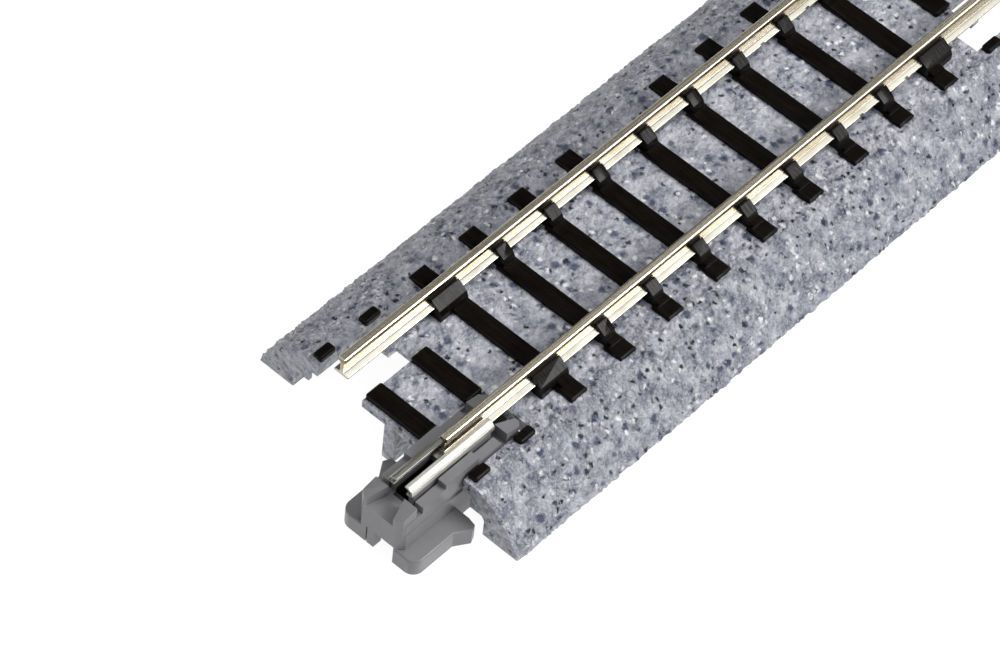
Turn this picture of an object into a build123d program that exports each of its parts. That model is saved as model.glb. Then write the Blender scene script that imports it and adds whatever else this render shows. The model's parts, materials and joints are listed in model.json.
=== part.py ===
from build123d import *

import os

os.makedirs("parts", exist_ok=True)

# Straight N gauge track section on a moulded roadbed, with one rail joiner at each end.
# X runs along the track, Y across it and Z up; the origin is on the underside, at the middle.
# The section looks the same after half a turn about Z, so each end is made from the other.

# ---- overall sizes -----------------------------------------------------------------------
track_length = 63.8          # over the rail ends, for a 64 mm place in a layout
base_width = 24.8            # across the foot of the roadbed
gauge = 9.0                  # between the inner faces of the rail heads
rail_top = 7.12              # running surface above the underside
end_x = track_length / 2

# ---- rail section ------------------------------------------------------------------------
head_width = 0.65
head_depth = 0.52
web_width = 0.30
rail_foot_width = 1.33
foot_edge = 0.20             # thickness of the foot at its edge
foot_rise = 0.14             # slope of the foot up to the web
rail_height = 1.84
rail_y = gauge / 2 + head_width / 2
rail_seat = rail_top - rail_height
foot_notch = 0.12            # depth of the stamped notches in the foot
foot_notch_length = 0.35

# ---- roadbed -----------------------------------------------------------------------------
deck_top = 4.30              # top of the ballast between the sleepers
deck_margin = 0.47           # flat deck outside the ends of the sleepers
flank_bulge = 0.65           # how far the rounded slope swells out of the straight one
barb_clearance = 0.04        # between a joiner's barbs and the walls on either side of them
leg_knee = 1.55              # height at which the side walls start to thicken
leg_slant = 1.15             # and how much thicker they are where they meet the deck
hollow_height = 3.10         # height of the hollow under the deck
tongue_hollow = 3.60         # height of the hollow under the tongue at each end
slot_clearance = 0.12        # each side, between the slots and the body of a joiner
slot_end_clearance = 0.45    # behind this section's own joiner
socket_inner_length = 5.15   # socket for the next joiner, on the side of the tongue
socket_outer_length = 6.90   # and on the side of the flank
socket_pocket = 3.90         # height of the pocket under the deck behind the socket
socket_pocket_length = 4.25
socket_peg = 0.85            # peg that stands out from the back wall of the socket
socket_peg_width = 0.80
peg_offset = 0.22            # its middle, from the rail's centre line towards the tongue
end_lug = 0.25               # small upright lugs on the side walls at each end
end_lug_length = 0.35
end_lug_height = 1.20

# ---- sleepers ----------------------------------------------------------------------------
sleeper_width = 1.655
sleeper_top = 4.74
sleeper_overhang = 3.33      # of a full sleeper's end, outside the rail head's inner face
sleeper_depth = 0.75         # from its top to its seat in the roadbed
sleeper_edge = 0.16          # round on the top edges
sleeper_corner = 0.20        # round on the upright corners of the cut sleepers
seat_clearance = 0.03        # each side, between a sleeper and its recess
full_sleepers = range(-4, 5)
last_full_inset = 11.10      # of the outermost full sleeper, from the rail end
end_sleeper_insets = (5.76, 1.10)   # of the two cut sleepers at each end, from the rail end
centre_overhang = 0.025      # of the cut sleeper between the rails, past the tongue's edge
stub_inset = 0.045           # of the cut sleeper outside a rail, from the slot's edge
stub_width = 1.62

# ---- chairs that hold the rails ----------------------------------------------------------
chair_length = 1.15          # along the rail
chair_reach = 1.30           # from the rail's centre line to the chair's outer edge
chair_height = 0.67          # above the rail seat, where the chair meets the web
chair_crown = 0.30           # half width of the level top, before it slopes down the foot
chair_brow = 1.10            # end of that slope, from the rail's centre line
chair_brow_height = 0.12     # of the slope's end, above the rail seat
chair_edge_drop = 0.45       # from there down to the chair's outer edge
chair_slot = 0.04            # clearance round the rail foot
chair_step = 0.30            # low step outside the chair
chair_step_height = 0.30     # of that step, above the sleeper
long_chair_before = 2.10     # the long chair, from its sleeper towards the end of the track
long_chair_after = 0.75      # and from its sleeper towards the middle

# ---- joiner ------------------------------------------------------------------------------
joiner_length = 12.50
joiner_body_width = 4.00
joiner_wall_top = 5.10       # raised middle of the side walls
joiner_low_wall = 4.62       # the walls before and behind it
joiner_nose_top = 4.00       # bridge at each end of the body
joiner_channel = 2.44        # between the side walls
raised_wall_length = 3.40
wall_notch = 0.60            # gap between each low wall and its prong
prong_length = 1.65
prong_inner = 0.75           # half the gap between two prongs at their root
prong_flare = 0.50           # how much further apart they stand at the tip
prong_drop = 0.35            # fall of the prong's top towards its tip
nose_length = 2.30           # bridge at each end of the body
well_width = 1.10            # well in the body under the open middle of the sleeve
well_bridge = 0.90           # solid stretch between the two wells, under the rail joint
wing_height = 1.50
wing_corner = 0.90           # round on the wings' front corners
wing_half_width = 3.55       # of the wings at the foot, from the rail's centre line
throat_length = 1.60         # open throat under the nose, between the wings
throat_left = 1.05           # its edges, from the rail's centre line
throat_right = 1.50
throat_height = 1.70
throat_peg = 0.80            # small square peg that stands in the throat
throat_peg_width = 0.65
throat_peg_offset = 0.62
barb_half_width = 4.28       # of the barbs behind the wings
barb_front = 2.30            # start of the barb's ramp, from the rail end
barb_peak = 1.15
barb_back = 0.45
base_ledge = 0.12            # low step round the body
base_ledge_top = 2.92
nose_chamfer = 0.55

# ---- sleeve ------------------------------------------------------------------------------
sleeve_length = 8.50
sleeve_sheet = 0.20
sleeve_half_width = 1.14
sleeve_lip_gap = 0.36        # half the gap between the lips
sleeve_bridge = 1.10         # stretch of floor that joins the sleeve's two channels
sleeve_pad_inset = 0.10      # of the housing's pad, under the sleeve's edge
rail_fit = 0.05              # between the sleeve and the rail foot


def half_turn(solid):
    """The same piece at the other end of the track."""
    return Rot(0, 0, 180) * solid


def save(solid, name):
    """Label one piece and write it as its own STEP file."""
    solid.label = name
    export_step(solid, f"parts/{name}.step")


# ==== sizes that several pieces share =====================================================
slot_inner_y = rail_y - joiner_body_width / 2 - slot_clearance
slot_outer_y = rail_y + joiner_body_width / 2 + slot_clearance
slot_width = slot_outer_y - slot_inner_y
slot_length = joiner_length / 2 + slot_end_clearance
leg_inner_y = rail_y + barb_half_width + barb_clearance
rib_width = 2 * (rail_y - barb_half_width - barb_clearance)
sleeper_span = gauge + 2 * sleeper_overhang
shoulder_width = sleeper_span + 2 * deck_margin
sleeper_pitch = (end_x - last_full_inset) / full_sleepers[-1]
end_sleeper_x = [end_x - inset for inset in end_sleeper_insets]
centre_sleeper_span = 2 * (slot_inner_y + centre_overhang)
stub_inner_y = slot_outer_y + stub_inset
chair_top = rail_seat + chair_height
sleeper_seat = sleeper_top - sleeper_depth
sleeve_floor = rail_seat - rail_fit - sleeve_sheet


# ==== roadbed =============================================================================
def centred(x_low, x_high, y_low, y_high):
    """Middle and size of the rectangle between two corners."""
    return ((x_low + x_high) / 2, (y_low + y_high) / 2), (x_high - x_low, y_high - y_low)


def slot_rectangles():
    """Slots cut through the deck at both ends, as corner pairs."""
    back = end_x - slot_length
    socket_back = end_x - socket_inner_length
    outer_back = end_x - socket_outer_length
    past = end_x + 1
    return [
        (-past, -back, -slot_outer_y, -slot_inner_y),
        (-past, -socket_back, slot_inner_y, slot_outer_y),
        (-past, -outer_back, rail_y, slot_outer_y),
    ]


def sleeper_recesses():
    """Recesses in the deck for every sleeper, as corner pairs."""
    half_width = sleeper_width / 2 + seat_clearance
    stub_half = stub_width / 2 + seat_clearance
    half_span = sleeper_span / 2 + seat_clearance
    centre_half = centre_sleeper_span / 2 + seat_clearance
    recesses = []
    for index in full_sleepers:
        x = index * sleeper_pitch
        low_end = -half_span
        high_end = half_span if index else rail_y + chair_reach + seat_clearance
        recesses.append((x - half_width, x + half_width, low_end, high_end))
    for x in end_sleeper_x:
        for side in (-1, 1):
            middle = side * x
            recesses.append((middle - half_width, middle + half_width, -centre_half, centre_half))
            stub_low = stub_inner_y - seat_clearance
            recesses.append((middle - stub_half, middle + stub_half, stub_low, half_span))
            recesses.append((middle - stub_half, middle + stub_half, -half_span, -stub_low))
    return recesses


with BuildPart() as roadbed:
    # solid bank with rounded, sloping sides
    with BuildSketch(Plane.YZ.offset(-end_x)):
        with BuildLine():
            Line((-base_width / 2, 0), (base_width / 2, 0))
            SagittaArc((base_width / 2, 0), (shoulder_width / 2, deck_top), -flank_bulge)
            Line((shoulder_width / 2, deck_top), (-shoulder_width / 2, deck_top))
            SagittaArc((-shoulder_width / 2, deck_top), (-base_width / 2, 0), -flank_bulge)
        make_face()
    extrude(amount=track_length)
    # the hollow underneath, on both sides of the middle rib
    with BuildSketch(Plane.YZ.offset(-end_x)):
        with BuildLine():
            Polyline(
                (rib_width / 2, 0),
                (leg_inner_y, 0),
                (leg_inner_y, leg_knee),
                (leg_inner_y - leg_slant, hollow_height),
                (rib_width / 2, hollow_height),
                close=True,
            )
        make_face()
        mirror(about=Plane.YZ)
    extrude(amount=track_length, mode=Mode.SUBTRACT)
    # more room under the tongue at each end
    with BuildSketch(Plane.XY):
        with GridLocations(track_length - slot_length, rib_width + slot_inner_y - rib_width / 2, 2, 2):
            Rectangle(slot_length, slot_inner_y - rib_width / 2)
    extrude(amount=tongue_hollow, mode=Mode.SUBTRACT)
    # slots round the rail ends
    with BuildSketch(Plane.XY):
        for x_low, x_high, y_low, y_high in slot_rectangles():
            place, size = centred(x_low, x_high, y_low, y_high)
            opposite = (-place[0], -place[1])
            with Locations(place, opposite):
                Rectangle(*size)
    extrude(amount=deck_top, mode=Mode.SUBTRACT)
    # pocket under the deck behind each socket
    pocket_x = end_x - socket_inner_length - socket_pocket_length / 2
    pocket_y = slot_inner_y + slot_width / 2
    with BuildSketch(Plane.XY):
        with Locations((-pocket_x, pocket_y), (pocket_x, -pocket_y)):
            Rectangle(socket_pocket_length, slot_width)
    extrude(amount=socket_pocket, mode=Mode.SUBTRACT)
    # peg on the back wall of each socket
    peg_x = end_x - socket_inner_length + socket_peg / 2
    peg_y = rail_y - peg_offset
    with BuildSketch(Plane.XY.offset(socket_pocket)):
        with Locations((-peg_x, peg_y), (peg_x, -peg_y)):
            Rectangle(socket_peg, socket_peg_width)
    extrude(amount=deck_top - socket_pocket)
    # recesses that seat the sleepers
    with BuildSketch(Plane.XY.offset(sleeper_seat)):
        for corners in sleeper_recesses():
            place, size = centred(*corners)
            with Locations(place):
                Rectangle(*size)
    extrude(amount=deck_top, mode=Mode.SUBTRACT)
    # upright lugs on the inner faces of the side walls
    lug_x = end_x - end_lug_length / 2
    lug_low_y = leg_inner_y - leg_slant - end_lug
    lug_width = leg_slant + end_lug
    with BuildSketch(Plane.XY.offset(hollow_height)):
        with GridLocations(2 * lug_x, 2 * lug_low_y + lug_width, 2, 2):
            Rectangle(end_lug_length, lug_width)
    extrude(amount=-end_lug_height)

save(roadbed.part, "roadbed")


# ==== rails ===============================================================================
def rail_profile():
    """Corner points of one side of the rail, from the foot to the head."""
    web = web_width / 2
    head = head_width / 2
    foot = rail_foot_width / 2
    return [
        (0, 0),
        (foot, 0),
        (foot, foot_edge),
        (web, foot_edge + foot_rise),
        (web, rail_height - head_depth),
        (head, rail_height - head_depth + 0.10),
        (head, rail_height - 0.08),
        (head - 0.08, rail_height),
        (0, rail_height),
    ]


with BuildPart() as rail:
    with BuildSketch(Plane.YZ.offset(-end_x)):
        with BuildLine():
            Polyline(*rail_profile(), close=True)
        make_face()
        mirror(about=Plane.YZ)
    extrude(amount=track_length)
    # notches in one edge of the foot, midway between sleepers
    with BuildSketch(Plane.XY):
        for count in (2.5, 3.5):
            with Locations((count * sleeper_pitch, -rail_foot_width / 2)):
                Rectangle(foot_notch_length, 2 * foot_notch)
            with Locations((-count * sleeper_pitch, rail_foot_width / 2)):
                Rectangle(foot_notch_length, 2 * foot_notch)
    extrude(amount=rail_height / 3, mode=Mode.SUBTRACT)

save(Pos(0, rail_y, rail_seat) * rail.part, "left_rail")
save(Pos(0, -rail_y, rail_seat) * rail.part, "right_rail")


# ==== full sleepers with their chairs =====================================================
def rail_channel():
    """The room that the rail foot and web take in a chair, cut along the track."""
    half_foot = rail_foot_width / 2 + chair_slot
    half_web = web_width / 2 + chair_slot
    edge = rail_seat + foot_edge + chair_slot
    slope_top = rail_seat + foot_edge + foot_rise + chair_slot
    above = rail_top
    right_half = [(half_foot, rail_seat), (half_foot, edge), (half_web, slope_top), (half_web, above)]
    left_half = [(-y, z) for y, z in reversed(right_half)]
    with BuildSketch(Plane.YZ) as channel:
        with BuildLine():
            Polyline(*right_half, *left_half, close=True)
        make_face()
    return channel.sketch


def chair_outline():
    """Section of a chair across the track, about the rail's centre line."""
    brow = rail_seat + chair_brow_height
    base = deck_top + seat_clearance
    right_half = [
        (chair_reach, base),
        (chair_reach, brow - chair_edge_drop),
        (chair_brow, brow),
        (chair_crown, chair_top),
    ]
    return right_half + [(-y, z) for y, z in reversed(right_half)]


def sleeper(before, after, left_outer_end):
    """One sleeper at the origin, with a chair under each rail.

    before and after are the chair's lengths to either side of the sleeper's middle.
    """
    left_reach = sleeper_span / 2 if left_outer_end else rail_y + chair_reach
    chair_middle = (after - before) / 2
    chair_size = before + after
    with BuildPart() as tie:
        # the wooden-looking block, in three stretches, narrow where the chairs stand
        inner_half = rail_y - rail_foot_width / 2
        outer_start = rail_y + chair_reach
        with BuildSketch(Plane.XY.offset(sleeper_seat)):
            Rectangle(sleeper_width, 2 * inner_half)
            with Locations((0, -(outer_start + sleeper_span / 2) / 2)):
                Rectangle(sleeper_width, sleeper_span / 2 - outer_start)
            if left_outer_end:
                with Locations((0, (outer_start + left_reach) / 2)):
                    Rectangle(sleeper_width, left_reach - outer_start)
        extrude(amount=sleeper_depth)
        top_edges = tie.edges().filter_by(GeomType.LINE).group_by(Axis.Z)[-1]
        fillet(top_edges, radius=sleeper_edge)
        # narrow neck that joins the stretches under the rails
        with BuildSketch(Plane.XY.offset(sleeper_seat)):
            with Locations((0, (left_reach - outer_start) / 2)):
                Rectangle(chair_length, left_reach + outer_start - sleeper_edge)
        extrude(amount=sleeper_depth - sleeper_edge)
        # low steps outside the chairs
        with BuildSketch(Plane.XY.offset(sleeper_seat)):
            step_sides = (-1, 1) if left_outer_end else (-1,)
            for side in step_sides:
                with Locations((0, side * (outer_start + chair_step / 2))):
                    Rectangle(chair_length, chair_step + 2 * sleeper_edge)
        extrude(amount=sleeper_depth + chair_step_height)
        # the chairs themselves, which slope down over the rail foot
        for rail_side in (-rail_y, rail_y):
            with BuildSketch(Plane.YZ.offset(chair_middle - chair_size / 2)):
                with BuildLine():
                    Polyline(*[(rail_side + y, z) for y, z in chair_outline()], close=True)
                make_face()
            extrude(amount=chair_size)
        for side in (-1, 1):
            slot = Pos(-track_length / 2, side * rail_y, 0) * rail_channel()
            extrude(slot, amount=track_length, dir=(1, 0, 0), mode=Mode.SUBTRACT)
    return tie.part


half_chair = chair_length / 2
plain_sleeper = sleeper(half_chair, half_chair, True)
middle_sleeper = sleeper(half_chair, half_chair, False)
long_sleeper = sleeper(long_chair_before, long_chair_after, True)

for index in full_sleepers:
    number = index + 7
    shift = Pos(index * sleeper_pitch, 0, 0)
    if index == full_sleepers[0]:
        piece = shift * long_sleeper
    elif index == full_sleepers[-1]:
        piece = shift * half_turn(long_sleeper)
    elif index == 0:
        piece = shift * middle_sleeper
    else:
        piece = shift * plain_sleeper
    save(piece, f"sleeper_{number:02d}")

# ==== cut sleepers at the ends ============================================================
with BuildPart() as centre_block:
    with BuildSketch(Plane.XY.offset(sleeper_seat)):
        RectangleRounded(sleeper_width, centre_sleeper_span, sleeper_corner)
    extrude(amount=sleeper_depth)
    fillet(centre_block.edges().group_by(Axis.Z)[-1], radius=sleeper_edge)

stub_length = sleeper_span / 2 - stub_inner_y
with BuildPart() as stub_block:
    with BuildSketch(Plane.XY.offset(sleeper_seat)):
        RectangleRounded(stub_width, stub_length, sleeper_corner)
    extrude(amount=sleeper_depth)
    fillet(stub_block.edges().group_by(Axis.Z)[-1], radius=sleeper_edge)

stub_middle_y = stub_inner_y + stub_length / 2
for x, first, last in zip(end_sleeper_x, ("02", "01"), ("12", "13")):
    for side, number in ((-1, first), (1, last)):
        save(Pos(side * x, 0, 0) * centre_block.part, f"sleeper_{number}_centre")
        save(Pos(side * x, stub_middle_y, 0) * stub_block.part, f"sleeper_{number}_left_stub")
        save(Pos(side * x, -stub_middle_y, 0) * stub_block.part, f"sleeper_{number}_right_stub")


# ==== joiner housing ======================================================================
# Made at the near end of the right rail: the rail ends at joint_x, and the joiner reaches
# half its length to either side of it.
joint_x = -end_x
joiner_half = joiner_length / 2
front_x = joint_x - joiner_half
back_x = joint_x + joiner_half
joiner_y = -rail_y
body_half = joiner_body_width / 2
low_wall_end = joiner_half - prong_length - wall_notch


def wing_outline():
    """Half outline of the foot plate: wings in front, then a barb, then plain behind it."""
    return [
        (front_x, 0),
        (front_x, wing_half_width),
        (joint_x - barb_front, wing_half_width),
        (joint_x - barb_peak, barb_half_width),
        (joint_x - barb_back - 0.15, barb_half_width - 0.25),
        (joint_x - barb_back, wing_half_width - 0.20),
        (joint_x - barb_back, body_half + base_ledge),
        (back_x, body_half + base_ledge),
        (back_x, 0),
    ]


def prong_outline(side, end):
    """Plan of one prong; side is +1 or -1 across the track, end is -1 in front, +1 behind."""
    root_x = joint_x + end * (joiner_half - prong_length)
    tip_x = joint_x + end * joiner_half
    outer = side * (body_half - 0.05)
    corner = side * (body_half - 0.45)
    return [
        (root_x, side * prong_inner),
        (root_x, outer),
        (tip_x - end * 0.35, outer),
        (tip_x, corner),
        (tip_x, side * (prong_inner + prong_flare)),
    ]


with BuildPart() as housing:
    # foot plate with wings and barbs
    with BuildSketch(Plane.XY) as foot_plate:
        with BuildLine():
            Polyline(*wing_outline(), close=True)
        make_face()
        mirror(about=Plane.XZ)
        front_corners = foot_plate.vertices().group_by(Axis.X)[0]
        wing_tips = [front_corners.sort_by(Axis.Y)[0], front_corners.sort_by(Axis.Y)[-1]]
        fillet(wing_tips, radius=wing_corner)
    extrude(amount=wing_height)
    fillet(housing.edges().group_by(Axis.Z)[-1], radius=0.15)
    # body with a low ledge round it
    with BuildSketch(Plane.XY.offset(wing_height / 2)):
        with Locations((joint_x, 0)):
            Rectangle(joiner_length, joiner_body_width + 2 * base_ledge)
        chamfer(vertices(), length=nose_chamfer)
    extrude(amount=base_ledge_top - wing_height / 2)
    with BuildSketch(Plane.XY.offset(wing_height)):
        with Locations((joint_x, 0)):
            Rectangle(joiner_length, joiner_body_width)
        chamfer(vertices(), length=nose_chamfer)
    extrude(amount=joiner_nose_top - wing_height)
    # open throat under the front nose, with a small square peg in it
    throat_y = (throat_left - throat_right) / 2
    with BuildSketch(Plane.XY):
        with Locations((front_x + throat_length / 2, throat_y)):
            Rectangle(throat_length, throat_left + throat_right)
    extrude(amount=throat_height, mode=Mode.SUBTRACT)
    with BuildSketch(Plane.XY):
        with Locations((front_x + throat_peg / 2, throat_peg_offset)):
            Rectangle(throat_peg, throat_peg_width)
    extrude(amount=throat_height)
    # lower the middle between the two nose bridges, then set a pad under the sleeve
    middle_length = joiner_length - 2 * nose_length
    with BuildSketch(Plane.XY.offset(base_ledge_top)):
        with Locations((joint_x, 0)):
            Rectangle(middle_length, joiner_channel)
    extrude(amount=joiner_nose_top, mode=Mode.SUBTRACT)
    with BuildSketch(Plane.XY.offset(base_ledge_top)):
        with Locations((joint_x, 0)):
            Rectangle(middle_length, 2 * (sleeve_half_width - sleeve_pad_inset))
    extrude(amount=sleeve_floor - base_ledge_top)
    # wells under the sleeve's open middle, either side of the rail joint
    well_length = (middle_length - well_bridge) / 2
    with BuildSketch(Plane.XY.offset(wing_height)):
        with Locations((joint_x, 0)):
            with GridLocations(well_length + well_bridge, 0, 2, 1):
                Rectangle(well_length, well_width)
    extrude(amount=joiner_wall_top, mode=Mode.SUBTRACT)
    # low walls, then the raised stretch in the middle
    wall_width = (joiner_body_width - joiner_channel) / 2
    wall_y = (joiner_channel + wall_width) / 2
    with BuildSketch(Plane.XY.offset(base_ledge_top)):
        with Locations((joint_x, wall_y), (joint_x, -wall_y)):
            Rectangle(2 * low_wall_end, wall_width)
    extrude(amount=joiner_low_wall - base_ledge_top)
    with BuildSketch(Plane.XY.offset(base_ledge_top)):
        with Locations((joint_x, wall_y), (joint_x, -wall_y)):
            Rectangle(raised_wall_length, wall_width)
    extrude(amount=joiner_wall_top - base_ledge_top)
    # prongs that guide the next rail, at both ends
    for end in (-1, 1):
        for side in (-1, 1):
            with BuildSketch(Plane.XY.offset(base_ledge_top)):
                with BuildLine():
                    Polyline(*prong_outline(side, end), close=True)
                make_face()
            extrude(amount=joiner_wall_top - base_ledge_top)
    # the prongs' tops fall towards their tips
    for end in (-1, 1):
        root_x = joint_x + end * (joiner_half - prong_length)
        tip_x = joint_x + end * joiner_half
        with BuildSketch(Plane.XZ.offset(-joiner_body_width)):
            with BuildLine():
                Polyline(
                    (root_x, joiner_wall_top),
                    (tip_x + end * 0.5, joiner_wall_top - prong_drop * (prong_length + 0.5) / prong_length),
                    (tip_x + end * 0.5, joiner_wall_top + 1),
                    (root_x, joiner_wall_top + 1),
                    close=True,
                )
            make_face()
        extrude(amount=2 * joiner_body_width, mode=Mode.SUBTRACT)

near_housing = Pos(0, joiner_y, 0) * housing.part
save(near_housing, "near_joiner_housing")
save(half_turn(near_housing), "far_joiner_housing")


# ==== metal sleeve ========================================================================
def sleeve_profile():
    """Right half of the folded sheet, from the middle of its floor round to the lip."""
    inside = rail_seat - rail_fit
    outside = inside - sleeve_sheet
    lip_low = rail_seat + foot_edge + rail_fit + 0.10
    lip_high = lip_low + sleeve_sheet
    inner_wall = sleeve_half_width - sleeve_sheet
    return [
        (0, outside),
        (sleeve_half_width - 0.20, outside),
        (sleeve_half_width - 0.06, outside + 0.06),
        (sleeve_half_width, outside + 0.20),
        (sleeve_half_width, lip_high - 0.55),
        (sleeve_half_width - 0.07, lip_high - 0.31),
        (sleeve_half_width - 0.24, lip_high - 0.11),
        (sleeve_half_width - 0.48, lip_high),
        (sleeve_lip_gap, lip_high + 0.02),
        (sleeve_lip_gap, lip_low + 0.04),
        (inner_wall - 0.34, lip_low),
        (inner_wall - 0.12, lip_low - 0.08),
        (inner_wall, lip_low - 0.26),
        (inner_wall, inside),
        (0, inside),
    ]


with BuildPart() as sleeve:
    with BuildSketch(Plane.YZ.offset(joint_x - sleeve_length / 2)):
        with BuildLine():
            Polyline(*sleeve_profile(), close=True)
        make_face()
        mirror(about=Plane.YZ)
    extrude(amount=sleeve_length)
    # the floor is cut away along the middle, except for a bridge at the rail joint
    window_length = (sleeve_length - sleeve_bridge) / 2
    with BuildSketch(Plane.XY.offset(sleeve_floor - sleeve_sheet)):
        with Locations((joint_x, 0)):
            with GridLocations(window_length + sleeve_bridge, 0, 2, 1):
                Rectangle(window_length, well_width)
    extrude(amount=2 * sleeve_sheet, mode=Mode.SUBTRACT)

near_sleeve = Pos(0, joiner_y, 0) * sleeve.part
save(near_sleeve, "near_joiner_sleeve")
save(half_turn(near_sleeve), "far_joiner_sleeve")
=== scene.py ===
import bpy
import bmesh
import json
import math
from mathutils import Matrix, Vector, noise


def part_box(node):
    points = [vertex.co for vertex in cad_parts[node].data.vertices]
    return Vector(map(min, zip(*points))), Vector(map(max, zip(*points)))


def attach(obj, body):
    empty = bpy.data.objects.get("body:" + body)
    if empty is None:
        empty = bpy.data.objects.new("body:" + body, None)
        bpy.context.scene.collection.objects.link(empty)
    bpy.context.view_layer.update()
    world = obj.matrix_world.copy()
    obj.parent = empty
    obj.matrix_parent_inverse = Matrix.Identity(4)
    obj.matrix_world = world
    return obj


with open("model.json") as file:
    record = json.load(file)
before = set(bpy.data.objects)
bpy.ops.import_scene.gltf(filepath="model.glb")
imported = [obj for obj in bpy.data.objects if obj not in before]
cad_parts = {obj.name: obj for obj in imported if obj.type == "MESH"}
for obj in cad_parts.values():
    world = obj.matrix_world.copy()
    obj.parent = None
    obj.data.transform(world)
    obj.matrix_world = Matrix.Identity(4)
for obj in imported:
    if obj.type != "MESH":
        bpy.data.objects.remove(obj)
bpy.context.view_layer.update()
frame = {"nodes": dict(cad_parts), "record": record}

# %% [markdown]
# # A short straight of N gauge track
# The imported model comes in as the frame: one roadbed, two rails, the sleepers and two
# plug-in joiners. This lesson dresses it: moulded ballast with grains standing out of it,
# dark sleepers, drawn nickel silver rails, grey joiners with bright sleeves, and a pale
# table with soft studio light. Everything is in metres, in the frame of the model: X along
# the track, Y across it and Z up.

MM = 0.001
slot_of = {part["node"]: part["material_slot"] for part in frame["record"]["subparts"]}
materials = {}

# %% [markdown]
# ## Small helpers for shader nodes
# Every material here is a tree of nodes on the object's own coordinates. A Mapping node
# turns them into millimetres, so a noise scale of 2 means two bumps to the millimetre.
# Each helper adds one node and gives back its output, which keeps a material as short as
# a recipe.

# %% A new material, with its coordinates in millimetres
def start_material(name):
    """A material kept under its name, its tree of nodes, and coordinates in millimetres."""
    material = bpy.data.materials.new(name)
    materials[name] = material
    material.use_nodes = True
    tree = material.node_tree
    coordinates = tree.nodes.new("ShaderNodeTexCoord")
    to_mm = tree.nodes.new("ShaderNodeMapping")
    to_mm.inputs["Scale"].default_value = (1 / MM, 1 / MM, 1 / MM)
    tree.links.new(coordinates.outputs["Object"], to_mm.inputs["Vector"])
    return material, tree, to_mm.outputs["Vector"]


def plug(tree, value, socket):
    """Link an output into a socket, or set the socket's own value."""
    if isinstance(value, bpy.types.NodeSocket):
        tree.links.new(value, socket)
    else:
        socket.default_value = value


def finish_material(material, **inputs):
    """Plug the given values into the material's main shader."""
    shader = material.node_tree.nodes["Principled BSDF"]
    for name, value in inputs.items():
        plug(material.node_tree, value, shader.inputs[name.replace("_", " ")])
    print(material.name, "is made of", len(material.node_tree.nodes), "nodes")


# %% Sums, ranges and places
def math_node(tree, operation, first, second=0.0):
    node = tree.nodes.new("ShaderNodeMath")
    node.operation = operation
    plug(tree, first, node.inputs[0])
    plug(tree, second, node.inputs[1])
    return node.outputs[0]


def range_node(tree, value, low, high, to_low, to_high):
    """Move a value from the range low to high into the range to_low to to_high."""
    node = tree.nodes.new("ShaderNodeMapRange")
    plug(tree, value, node.inputs["Value"])
    for name, number in (("From Min", low), ("From Max", high), ("To Min", to_low), ("To Max", to_high)):
        node.inputs[name].default_value = number
    return node.outputs["Result"]


def axes_of(tree, vector):
    """The outputs X, Y and Z of a vector."""
    node = tree.nodes.new("ShaderNodeSeparateXYZ")
    tree.links.new(vector, node.inputs[0])
    return node.outputs


def stretched(tree, vector, scale):
    """Coordinates for a pattern that is longer one way than the other."""
    node = tree.nodes.new("ShaderNodeMapping")
    plug(tree, vector, node.inputs["Vector"])
    node.inputs["Scale"].default_value = scale
    return node.outputs["Vector"]


# %% Noise, mixed colours and bumps
def noise_node(tree, vector, scale, detail=2.0, roughness=0.5):
    node = tree.nodes.new("ShaderNodeTexNoise")
    plug(tree, vector, node.inputs["Vector"])
    node.inputs["Scale"].default_value = scale
    node.inputs["Detail"].default_value = detail
    node.inputs["Roughness"].default_value = roughness
    return node.outputs


def mix_colours(tree, factor, first, second):
    node = tree.nodes.new("ShaderNodeMix")
    node.data_type = "RGBA"
    plug(tree, factor, node.inputs["Factor"])
    plug(tree, first, node.inputs["A"])
    plug(tree, second, node.inputs["B"])
    return node.outputs["Result"]


def bump(tree, height, depth_mm, strength=1.0):
    node = tree.nodes.new("ShaderNodeBump")
    plug(tree, height, node.inputs["Height"])
    node.inputs["Distance"].default_value = depth_mm * MM
    node.inputs["Strength"].default_value = strength
    return node.outputs["Normal"]


# %% [markdown]
# ## Ballast
# The roadbed is moulded in one blue-grey plastic with dark and pale chips in the mix, and
# its surface is glossy and pebbled. The colour could be painted on, but a mix made of nodes
# holds at any distance. Clouds of grey come first, then chips: each chip is a cell of a
# Voronoi texture, and only some of the cells are picked out.

# %% Chips of one colour in the mix
def chips(tree, vector, scale, radius, share, soft_edge):
    """1 inside the chosen chips, 0 elsewhere; share is how many of the cells are chips."""
    node = tree.nodes.new("ShaderNodeTexVoronoi")
    plug(tree, vector, node.inputs["Vector"])
    node.inputs["Scale"].default_value = scale
    pick = tree.nodes.new("ShaderNodeSeparateColor")
    tree.links.new(node.outputs["Color"], pick.inputs["Color"])
    chosen = math_node(tree, "LESS_THAN", pick.outputs["Red"], share)
    size = range_node(tree, pick.outputs["Green"], 0.0, 1.0, 0.5 * radius, radius)
    inside = math_node(tree, "SUBTRACT", size, node.outputs["Distance"])
    soft = range_node(tree, inside, -soft_edge, soft_edge, 0.0, 1.0)
    return math_node(tree, "MULTIPLY", soft, chosen)


# %% The colours of the mix
CLOUD_DARK = (0.142, 0.152, 0.205, 1)
CLOUD_PALE = (0.475, 0.482, 0.535, 1)
FROST = (0.635, 0.642, 0.69, 1)
NAVY_CHIP = (0.065, 0.078, 0.13, 1)
BLACK_CHIP = (0.016, 0.018, 0.030, 1)
WHITE_CHIP = (0.78, 0.785, 0.81, 1)


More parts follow.
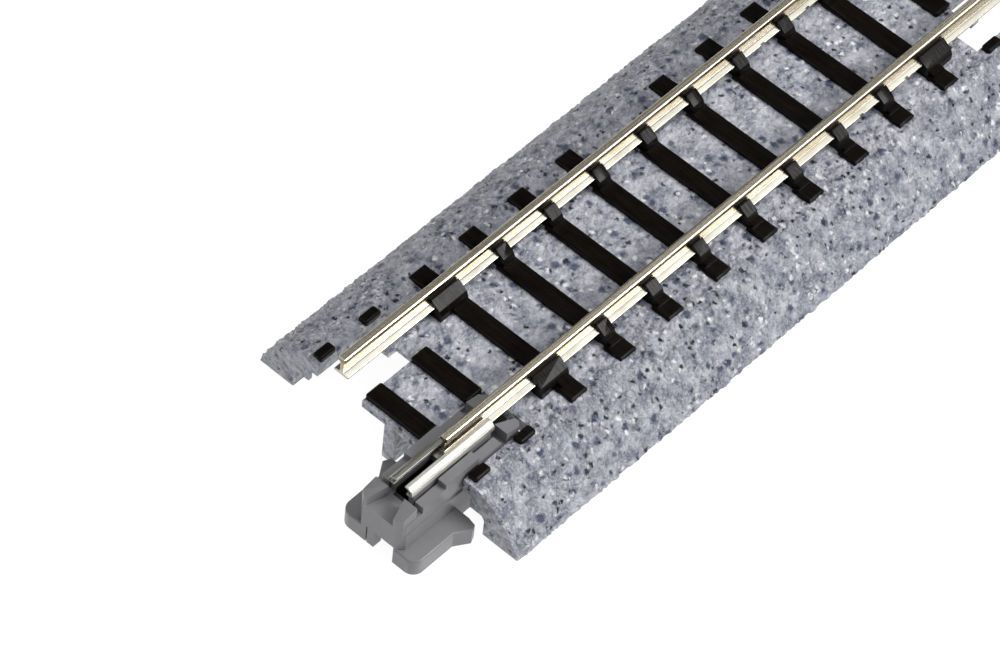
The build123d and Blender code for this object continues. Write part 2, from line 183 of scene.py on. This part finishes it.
def ballast_colour(tree, mm, moved, fine):
    """Clouds of grey under a frost of fine specks, then navy, black and white chips."""
    clouds = noise_node(tree, mm, 0.75, 5.0, 0.62)["Fac"]
    grey = mix_colours(tree, range_node(tree, clouds, 0.36, 0.64, 0.0, 1.0), CLOUD_DARK, CLOUD_PALE)
    frosted = mix_colours(tree, range_node(tree, fine, 0.42, 0.68, 0.0, 0.45), grey, FROST)
    navy = mix_colours(tree, chips(tree, moved, 1.15, 0.44, 0.36, 0.15), frosted, NAVY_CHIP)
    black = mix_colours(tree, chips(tree, moved, 2.0, 0.44, 0.21, 0.13), navy, BLACK_CHIP)
    return mix_colours(tree, chips(tree, moved, 2.2, 0.46, 0.17, 0.18), black, WHITE_CHIP)


# %% The pebbled surface
PEBBLES_PER_MM = 1.75
PEBBLE_DEPTH_MM = 0.30


def ballast_relief(tree, mm, moved):
    """Heights of round pebbles with a fine ripple, lower on the deck than on the flanks."""
    pebbles = tree.nodes.new("ShaderNodeTexVoronoi")
    tree.links.new(moved, pebbles.inputs["Vector"])
    pebbles.feature = "SMOOTH_F1"
    pebbles.inputs["Smoothness"].default_value = 0.35
    pebbles.inputs["Scale"].default_value = PEBBLES_PER_MM
    hollows = math_node(tree, "MULTIPLY", pebbles.outputs["Distance"], -1.5)
    ripple = math_node(tree, "MULTIPLY", noise_node(tree, mm, 3.2)["Fac"], 0.5)
    aside = math_node(tree, "ABSOLUTE", axes_of(tree, mm)["Y"])
    rougher_outside = range_node(tree, aside, 5.5, 8.5, 0.45, 1.0)
    return math_node(tree, "MULTIPLY", math_node(tree, "ADD", ripple, hollows), rougher_outside)


def ballast_material():
    material, tree, mm = start_material("ballast_plastic")
    wobble = tree.nodes.new("ShaderNodeVectorMath")
    wobble.operation = "MULTIPLY_ADD"
    tree.links.new(noise_node(tree, mm, 2.6, 4.0, 0.65)["Color"], wobble.inputs[0])
    wobble.inputs[1].default_value = (0.7, 0.7, 0.7)
    tree.links.new(mm, wobble.inputs[2])
    moved = wobble.outputs["Vector"]
    fine = noise_node(tree, mm, 4.5, 3.0, 0.7)["Fac"]
    finish_material(
        material,
        Base_Color=ballast_colour(tree, mm, moved, fine),
        Roughness=range_node(tree, fine, 0.3, 0.7, 0.12, 0.28),
        Normal=bump(tree, ballast_relief(tree, mm, moved), PEBBLE_DEPTH_MM),
    )


ballast_material()

# %% [markdown]
# ## Sleepers
# Near-black brown plastic, glossy, moulded with a fine wood grain along each sleeper. A
# noise that is short along the track and long across it gives the grain.

# %% The sleeper material
GRAIN_STRETCH = (5.0, 0.35, 1.2)
SLEEPER_DARK = (0.0022, 0.0016, 0.0013, 1)
SLEEPER_BROWN = (0.0065, 0.0045, 0.0035, 1)


def sleeper_material():
    material, tree, mm = start_material("sleeper_plastic")
    grain = noise_node(tree, stretched(tree, mm, GRAIN_STRETCH), 1.0, 4.0, 0.6)["Fac"]
    streaks = range_node(tree, grain, 0.35, 0.7, 0.0, 1.0)
    blotch = noise_node(tree, mm, 0.9, 3.0)["Fac"]
    finish_material(
        material,
        Base_Color=mix_colours(tree, streaks, SLEEPER_DARK, SLEEPER_BROWN),
        Roughness=range_node(tree, blotch, 0.3, 0.7, 0.14, 0.26),
        Normal=bump(tree, grain, 0.03, 0.5),
        Specular_IOR_Level=0.11,
    )


sleeper_material()

# %% [markdown]
# ## Rails
# Drawn nickel silver shows fine lines along the rail. Wheels and the cleaning rubber keep
# the top bright. The web and the sides of the head are painted brown: partly tarnish, partly a
# painted reflection of the dark ballast and sleepers beside the rail. Height alone tells foot,
# web, head and crown apart, so the tints are bands of height, each mixed over the last.

# %% Where the bands are, and their tints
rail_low, rail_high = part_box("left_rail")
FOOT_TOP_MM = rail_low[2] / MM + 0.34
HEAD_TOP_MM = rail_high[2] / MM
FOOT_DULL = (0.40, 0.38, 0.32, 1)
FOOT_BRIGHT = (0.52, 0.50, 0.44, 1)
# The web and head tints are partly tarnish and partly a painted reflection of the dark ballast and
# sleepers
WEB_TARNISH_AND_REFLECTION = (0.36, 0.285, 0.185, 1)
HEAD_TARNISH_AND_REFLECTION = (0.20, 0.17, 0.11, 1)
CROWN_WORN = (0.68, 0.62, 0.49, 1)
print("mm up the rail:", [round(z, 2) for z in (rail_low[2] / MM, FOOT_TOP_MM, HEAD_TOP_MM)])

# %% The rail material
def rail_material():
    material, tree, mm = start_material("rail_metal")
    lines = noise_node(tree, stretched(tree, mm, (0.03, 9.0, 9.0)), 1.0, 3.0, 0.6)["Fac"]
    stain = noise_node(tree, stretched(tree, mm, (0.5, 1.2, 1.2)), 0.8, 3.0)["Fac"]
    height = axes_of(tree, mm)["Z"]
    web = range_node(tree, height, FOOT_TOP_MM + 0.02, FOOT_TOP_MM + 0.40, 0.0, 0.95)
    patchy_web = math_node(tree, "MULTIPLY", web, range_node(tree, stain, 0.3, 0.7, 1.0, 0.7))
    head = range_node(tree, height, HEAD_TOP_MM - 0.62, HEAD_TOP_MM - 0.48, 0.0, 0.9)
    crown = range_node(tree, height, HEAD_TOP_MM - 0.10, HEAD_TOP_MM - 0.05, 0.0, 1.0)
    colour = mix_colours(tree, range_node(tree, stain, 0.35, 0.7, 0.0, 1.0), FOOT_DULL, FOOT_BRIGHT)
    # The web and head bands paint in tarnish together with the reflection of the dark ballast and
    # sleepers
    for band, tint in ((patchy_web, WEB_TARNISH_AND_REFLECTION), (head, HEAD_TARNISH_AND_REFLECTION), (crown, CROWN_WORN)):
        colour = mix_colours(tree, band, colour, tint)
    finish_material(
        material,
        Base_Color=colour,
        Metallic=1.0,
        Roughness=range_node(tree, lines, 0.3, 0.7, 0.18, 0.30),
        Normal=bump(tree, lines, 0.015, 0.5),
    )


rail_material()

# %% [markdown]
# ## Sleeves
# A sleeve is folded from thin sheet of the same kind of metal. Sheet that has been tumbled
# clean shows a short random grain in place of the rail's long lines.

# %% The sleeve material
SLEEVE_DULL = (0.41, 0.40, 0.37, 1)
SLEEVE_BRIGHT = (0.56, 0.55, 0.515, 1)


def sleeve_material():
    material, tree, mm = start_material("sleeve_metal")
    grain = noise_node(tree, mm, 9.0, 3.0, 0.7)["Fac"]
    finish_material(
        material,
        Base_Color=mix_colours(tree, noise_node(tree, mm, 1.3)["Fac"], SLEEVE_DULL, SLEEVE_BRIGHT),
        Metallic=1.0,
        Roughness=range_node(tree, grain, 0.3, 0.7, 0.28, 0.44),
        Normal=bump(tree, grain, 0.02, 0.6),
    )


sleeve_material()

# %% [markdown]
# ## Joiner plastic
# Satin mid-grey. Hardly any light reaches the wells under the open middle of the sleeve, so the
# material paints shade into them by where they are: painted near-black on a strip on the
# rail's line, between the wells' floor and the sleeve, behind the nose.

# %% Where the wells are
RAIL_Y_MM = (rail_low[1] + rail_high[1]) / 2 / MM
WELL_HALF_MM = 0.6
WELL_FLOOR_MM = 1.3
WELL_TOP_MM = 4.5
NOSE_MM = 2.0
well_front_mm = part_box("far_joiner_housing")[1][0] / MM - NOSE_MM
print("wells end", round(well_front_mm, 2), "mm from the middle of the track")

# %% The joiner material
JOINER_DARK = (0.160, 0.160, 0.169, 1)
JOINER_PALE = (0.195, 0.195, 0.207, 1)
# Painted shade: near-black for the wells, where the sleeve keeps the light out
WELL_PAINTED_SHADE = (0.008, 0.008, 0.008, 1)


def in_painted_shade_well(tree, mm):
    """1 inside the wells of either joiner, where the shade is painted, 0 elsewhere."""
    axes = axes_of(tree, mm)
    across = math_node(tree, "ABSOLUTE", axes["Y"])
    from_rail = math_node(tree, "ABSOLUTE", math_node(tree, "SUBTRACT", across, RAIL_Y_MM))
    along = math_node(tree, "ABSOLUTE", axes["X"])
    inside = math_node(tree, "LESS_THAN", from_rail, WELL_HALF_MM)
    for value, side, limit in (
        (axes["Z"], "LESS_THAN", WELL_TOP_MM),
        (axes["Z"], "GREATER_THAN", WELL_FLOOR_MM),
        (along, "LESS_THAN", well_front_mm),
    ):
        inside = math_node(tree, "MULTIPLY", inside, math_node(tree, side, value, limit))
    return inside


def joiner_material():
    material, tree, mm = start_material("joiner_plastic")
    tone = noise_node(tree, mm, 1.1, 3.0)["Fac"]
    grain = noise_node(tree, mm, 7.0, 3.0, 0.65)["Fac"]
    grey = mix_colours(tree, tone, JOINER_DARK, JOINER_PALE)
    finish_material(
        material,
        # Painted shade: the wells are mixed to near-black by where they are
        Base_Color=mix_colours(tree, in_painted_shade_well(tree, mm), grey, WELL_PAINTED_SHADE),
        Roughness=range_node(tree, grain, 0.3, 0.7, 0.33, 0.37),
        Normal=bump(tree, tone, 0.004, 0.3),
    )


joiner_material()

# %% [markdown]
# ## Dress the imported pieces
# Each node of the model gets the material of its slot. Real mouldings and cut metal have
# softened edges, so a small bevel goes on every piece but the roadbed. The bevel is a
# modifier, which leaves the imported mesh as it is, and a Weld before it joins the loose
# triangles, so that it finds the true edges.

# %% Materials and softened edges
EDGE_MM = {"sleeper_plastic": 0.045, "rail_metal": 0.035, "joiner_plastic": 0.14, "sleeve_metal": 0.055}
softened = 0

for name, piece in frame["nodes"].items():
    slot = slot_of[name]
    piece.data.materials.clear()
    piece.data.materials.append(materials[slot])
    if slot not in EDGE_MM:
        continue
    weld = piece.modifiers.new("join corners", "WELD")
    weld.merge_threshold = 0.001 * MM
    soften = piece.modifiers.new("soften edges", "BEVEL")
    soften.width = EDGE_MM[slot] * MM
    soften.segments = 2
    soften.limit_method = "ANGLE"
    soften.angle_limit = math.radians(25)
    softened += 1
print("dressed", len(frame["nodes"]), "pieces, edges softened on", softened)

# %% [markdown]
# ## Grains on the roadbed
# The grains stand out of the bank as low rounded bumps. They could be thousands of small
# stones, but on the real roadbed they are part of one moulding. So they are one thin skin
# laid on the bank: a grid that follows the deck and both rounded flanks, leaves the slots
# open and dips into the bank along every edge.

# %% The size of the bank
bank_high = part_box("roadbed")[1]
half_base = bank_high[1] / MM
deck_z = bank_high[2] / MM
end_x = bank_high[0] / MM
CREST_HALF = 8.3
FLANK_BULGE = 0.65
PITCH = 0.152
print("bank to", round(end_x, 2), "along,", round(half_base, 2), "across,", round(deck_z, 2), "mm high")

# %% Where the skin has to stay open: a joiner's slot, and the socket for the next joiner
SLOT_LOW = 2.705
SLOT_HIGH = 6.945
SLOT_BACK = end_x - 6.70
SOCKET_BACK = end_x - 5.15
OUTER_BACK = end_x - 6.90
near_gaps = [
    (-end_x, -SLOT_BACK, -SLOT_HIGH, -SLOT_LOW),
    (-end_x, -SOCKET_BACK, SLOT_LOW, SLOT_HIGH),
    (-end_x, -OUTER_BACK, RAIL_Y_MM, SLOT_HIGH),
]
gaps = near_gaps + [(-x2, -x1, -y2, -y1) for x1, x2, y1, y2 in near_gaps]


def edge_distance(x, y):
    """Distance in mm to the nearest open edge of the skin, 0 inside a gap."""
    nearest = end_x - abs(x)
    for x1, x2, y1, y2 in gaps:
        away = math.hypot(max(x1 - x, 0, x - x2), max(y1 - y, 0, y - y2))
        nearest = min(nearest, away)
    return nearest


print("open places:", len(gaps))

# %% The bank's section, from the left foot over the deck to the right foot
def stations(marks, pitch):
    """Positions from the first mark to the last, about a pitch apart, through every mark."""
    line = [marks[0]]
    for start, stop in zip(marks, marks[1:]):
        steps = max(1, round((stop - start) / pitch))
        line += [start + (stop - start) * count / steps for count in range(1, steps + 1)]
    return line


def flank():
    """Points down the right flank as (y, z, outward y, outward z), without the crest.

    The flank is an arc over the chord from crest to foot, and its radius follows from
    the chord and the bulge.
    """
    run = half_base - CREST_HALF
    chord = math.hypot(run, deck_z)
    radius = chord * chord / (8 * FLANK_BULGE) + FLANK_BULGE / 2
    out_y, out_z = deck_z / chord, run / chord
    middle_y = (half_base + CREST_HALF) / 2 - (radius - FLANK_BULGE) * out_y
    middle_z = deck_z / 2 - (radius - FLANK_BULGE) * out_z
    top = math.atan2(deck_z - middle_z, CREST_HALF - middle_y)
    foot = math.atan2(-middle_z, half_base - middle_y)
    steps = round((top - foot) * radius / PITCH)
    points = []
    for count in range(1, steps + 1):
        angle = top + (foot - top) * count / steps
        outward = (math.cos(angle), math.sin(angle))
        points.append((middle_y + radius * outward[0], middle_z + radius * outward[1], *outward))
    return points


half_marks = [SLOT_LOW, RAIL_Y_MM, SLOT_HIGH, CREST_HALF]
deck_marks = [-y for y in reversed(half_marks)] + [0] + half_marks
right_flank = flank()
section = [(-y, z, -out_y, out_z) for y, z, out_y, out_z in reversed(right_flank)]
section += [(y, deck_z, 0.0, 1.0) for y in stations(deck_marks, PITCH)]
section += right_flank
print("points across the bank:", len(section))

# %% The height of the grains
DECK_GRAIN_MM = 0.10
FLANK_EXTRA_MM = 0.13
COARSE_PER_MM = 1.5
SMALL_PER_MM = 2.9
DOME_FALL = 2.6


def dome(point, scale, seed):
    """A rounded bump in every cell of a Voronoi pattern."""
    reach = noise.voronoi(Vector(point) * scale + Vector((seed, seed, seed)))[0]
    return max(0.0, 1.0 - DOME_FALL * reach[0] * reach[0])


def grain_height(x, y, z):
    """Height in mm of the grains over the smooth bank: low on the deck, higher outside."""
    outside = min(1.0, max(0.0, (abs(y) - RAIL_Y_MM) / 3.0))
    swell = 0.5 + 0.5 * noise.noise(Vector((x, y, z)) * 0.8)
    coarse = dome((x, y, z), COARSE_PER_MM, 11.0)
    small = dome((x, y, z), SMALL_PER_MM, 47.0)
    amount = DECK_GRAIN_MM + FLANK_EXTRA_MM * outside
    return amount * (0.35 * swell + 0.65 * coarse * swell + 0.6 * small)


print("grains up to about", DECK_GRAIN_MM + FLANK_EXTRA_MM, "mm high")

# %% Lay the skin: a flat grid, draped over the bank and cut open at the gaps
FADE_MM = 0.3
TUCK_MM = 0.012


def skin_point(x, y, z, out_y, out_z):
    """A point of the bank lifted by its grain, or tucked just under it near an open edge."""
    fade = min(1.0, edge_distance(x, y) / FADE_MM)
    height = grain_height(x, y, z) * fade - TUCK_MM * (1 - fade)
    return Vector((x, y + out_y * height, max(0.0, z + out_z * height))) * MM


def in_gap(face):
    middle = face.calc_center_bounds() / MM
    return any(x1 < middle.x < x2 and y1 < middle.y < y2 for x1, x2, y1, y2 in gaps)


def grain_skin():
    backs = [0] + sorted((OUTER_BACK, SLOT_BACK, SOCKET_BACK, end_x))
    along = stations([-x for x in reversed(backs[1:])] + backs, PITCH)
    last_row = len(along) - 1
    last_column = len(section) - 1
    work = bmesh.new()
    bmesh.ops.create_grid(work, x_segments=last_row, y_segments=last_column, size=0.5)
    for corner in work.verts:
        row = round((corner.co.x + 0.5) * last_row)
        column = round((corner.co.y + 0.5) * last_column)
        corner.co = skin_point(along[row], *section[column])
    bmesh.ops.delete(work, geom=[face for face in work.faces if in_gap(face)], context="FACES")
    for face in work.faces:
        face.smooth = True
    mesh = bpy.data.meshes.new("ballast_grains")
    work.to_mesh(mesh)
    work.free()
    return mesh


grains = bpy.data.objects.new("ballast_grains", grain_skin())
bpy.context.scene.collection.objects.link(grains)
grains.data.materials.append(materials["ballast_plastic"])
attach(grains, "track")
upward = sum(1 for face in grains.data.polygons if face.normal.z > 0)
print("grain skin:", len(grains.data.polygons), "faces,", upward, "of them facing up")

# %% [markdown]
# ## Table, light and camera
# The table is plain and nearly white, and glows a little, so that it stays pale under any
# light. One bright softbox on the right draws small highlights on the pebbles and a bright
# line along each rail's foot. The other softboxes fill the shadows. The sky above is left
# dim, so the flat rail tops look dark between bright edges.

# %% Table
bpy.ops.mesh.primitive_plane_add(size=1.2, location=(0, 0, -0.02 * MM))
table = bpy.context.object
table.name = "table"
table_material, table_tree, table_mm = start_material("table_white")
table_tone = noise_node(table_tree, table_mm, 0.02)["Fac"]
finish_material(
    table_material,
    Base_Color=mix_colours(table_tree, table_tone, (0.14, 0.14, 0.14, 1), (0.16, 0.16, 0.16, 1)),
    Roughness=0.9,
    Emission_Color=(1.0, 1.0, 1.0, 1),
    Emission_Strength=0.93,
)
table.data.materials.append(table_material)

# %% Dim sky
world = bpy.data.worlds.new("studio")
bpy.context.scene.world = world
world.use_nodes = True
sky = world.node_tree.nodes["Background"]
sky.inputs["Color"].default_value = (1.0, 0.98, 0.93, 1)
sky.inputs["Strength"].default_value = 0.13
print("sky strength:", round(sky.inputs["Strength"].default_value, 2))

# %% Softboxes
FROM_RIGHT = (0.35, -0.70, 0.62)


def softbox(name, direction, distance, size, power):
    """A rectangular lamp that looks at the middle of the track."""
    lamp = bpy.data.lights.new(name, "AREA")
    lamp.shape = "RECTANGLE"
    lamp.size, lamp.size_y = size
    lamp.energy = power
    light = bpy.data.objects.new(name, lamp)
    bpy.context.scene.collection.objects.link(light)
    light.location = Vector(direction).normalized() * distance
    light.rotation_euler = (-light.location).to_track_quat("-Z", "Y").to_euler()
    print(name, "of", power, "W,", distance, "m away")


softbox("right softbox", FROM_RIGHT, 0.45, (0.20, 0.18), 1.45)
softbox("right fill softbox", FROM_RIGHT, 0.46, (0.50, 0.40), 0.55)
softbox("top softbox", (0.43, -0.12, 0.90), 0.45, (0.36, 0.30), 0.72)
softbox("left softbox", (-0.25, 0.75, 0.60), 0.50, (0.40, 0.30), 0.15)
softbox("rim softbox", (-0.76, 0.37, 0.47), 0.50, (0.17, 0.17), 0.2)
softbox("front softbox", (-0.35, -0.10, 0.92), 0.50, (0.22, 0.22), 0.48)
bpy.context.scene.view_settings.view_transform = "Standard"

# %% Camera: where it stands, what is to its right and what is ahead of it
EYE_MM = (-201.925, -136.148, 288.507)
TO_RIGHT = Vector((0.671249, -0.737406, 0.075221))
AHEAD = Vector((0.498887, 0.374398, -0.781625))
camera_data = bpy.data.cameras.new("camera")
camera_data.lens = 184.79
camera_data.sensor_width = 36
camera_data.clip_start = 0.01
camera = bpy.data.objects.new("camera", camera_data)
bpy.context.scene.collection.objects.link(camera)
turn = Matrix((TO_RIGHT, TO_RIGHT.cross(AHEAD).normalized(), -AHEAD)).transposed()
camera.matrix_world = Matrix.Translation(Vector(EYE_MM) * MM) @ turn.to_4x4()
bpy.context.scene.camera = camera
print("camera", round(Vector(EYE_MM).length), "mm from the middle of the track")
